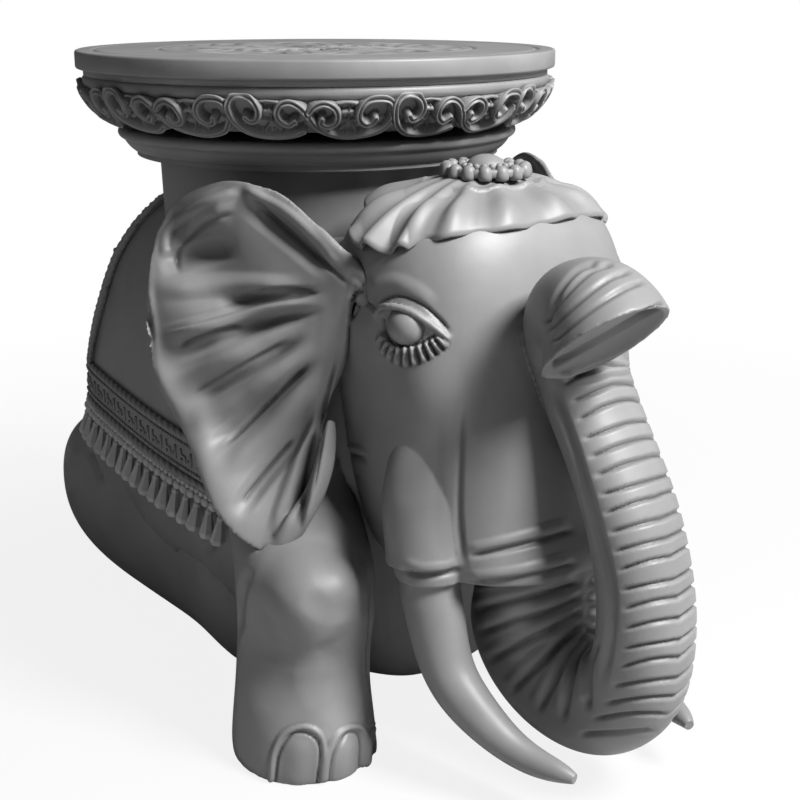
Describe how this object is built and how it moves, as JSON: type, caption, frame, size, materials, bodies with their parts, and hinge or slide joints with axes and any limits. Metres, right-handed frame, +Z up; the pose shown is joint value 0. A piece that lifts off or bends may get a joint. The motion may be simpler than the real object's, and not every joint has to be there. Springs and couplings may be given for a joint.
{
  "type": "carved elephant stool",
  "caption": "Carved round-topped stool in the form of a kneeling elephant with a raised curled trunk, scrolled frieze and draped saddle cloth.",
  "frame": {"origin": "middle of the whole stool's box, at floor level", "axes": "+Z up from the floor to the seat; the elephant faces -Y; +X is the elephant's left side"},
  "size_m": [0.3512, 0.5948, 0.434],
  "materials": {
    "carved_wood": "satin charcoal paint over carved wood",
    "dowel_wood": "plain unpainted hardwood dowel"
  },
  "bodies": {
    "root": {"seat_top": "carved_wood", "seat_dowels": "dowel_wood", "frieze_ring": "carved_wood", "lower_moulding": "carved_wood", "drum": "carved_wood", "drum_peg": "dowel_wood", "torso": "carved_wood", "head": "carved_wood", "head_pins": "dowel_wood", "trunk": "carved_wood", "trunk_pin": "dowel_wood", "trunk_tip": "carved_wood", "trunk_tip_pin": "dowel_wood", "tusk_right": "carved_wood", "tusk_left": "carved_wood", "eye_right": "carved_wood", "eye_left": "carved_wood", "ear_right": "carved_wood", "ear_left": "carved_wood", "ear_dowels_right": "dowel_wood", "ear_dowels_left": "dowel_wood", "front_leg_right": "carved_wood", "front_leg_left": "carved_wood", "front_leg_dowel_right": "dowel_wood", "front_leg_dowel_left": "dowel_wood", "hind_leg_right": "carved_wood", "hind_leg_left": "carved_wood", "hind_leg_dowel_right": "dowel_wood", "hind_leg_dowel_left": "dowel_wood", "head_cloth": "carved_wood", "crown_disc": "carved_wood", "crown_boss": "carved_wood", "crown_beads": "carved_wood", "crown_seed_beads": "carved_wood", "tail": "carved_wood", "saddle_flap_right": "carved_wood", "saddle_flap_left": "carved_wood", "hem_cords_right": "carved_wood", "hem_cords_left": "carved_wood", "hem_band_right": "carved_wood", "hem_band_left": "carved_wood", "rear_band_right": "carved_wood", "rear_band_left": "carved_wood", "hem_beads_right": "carved_wood", "hem_beads_left": "carved_wood", "pendants_right": "carved_wood", "pendants_left": "carved_wood"}
  },
  "joints": []
}
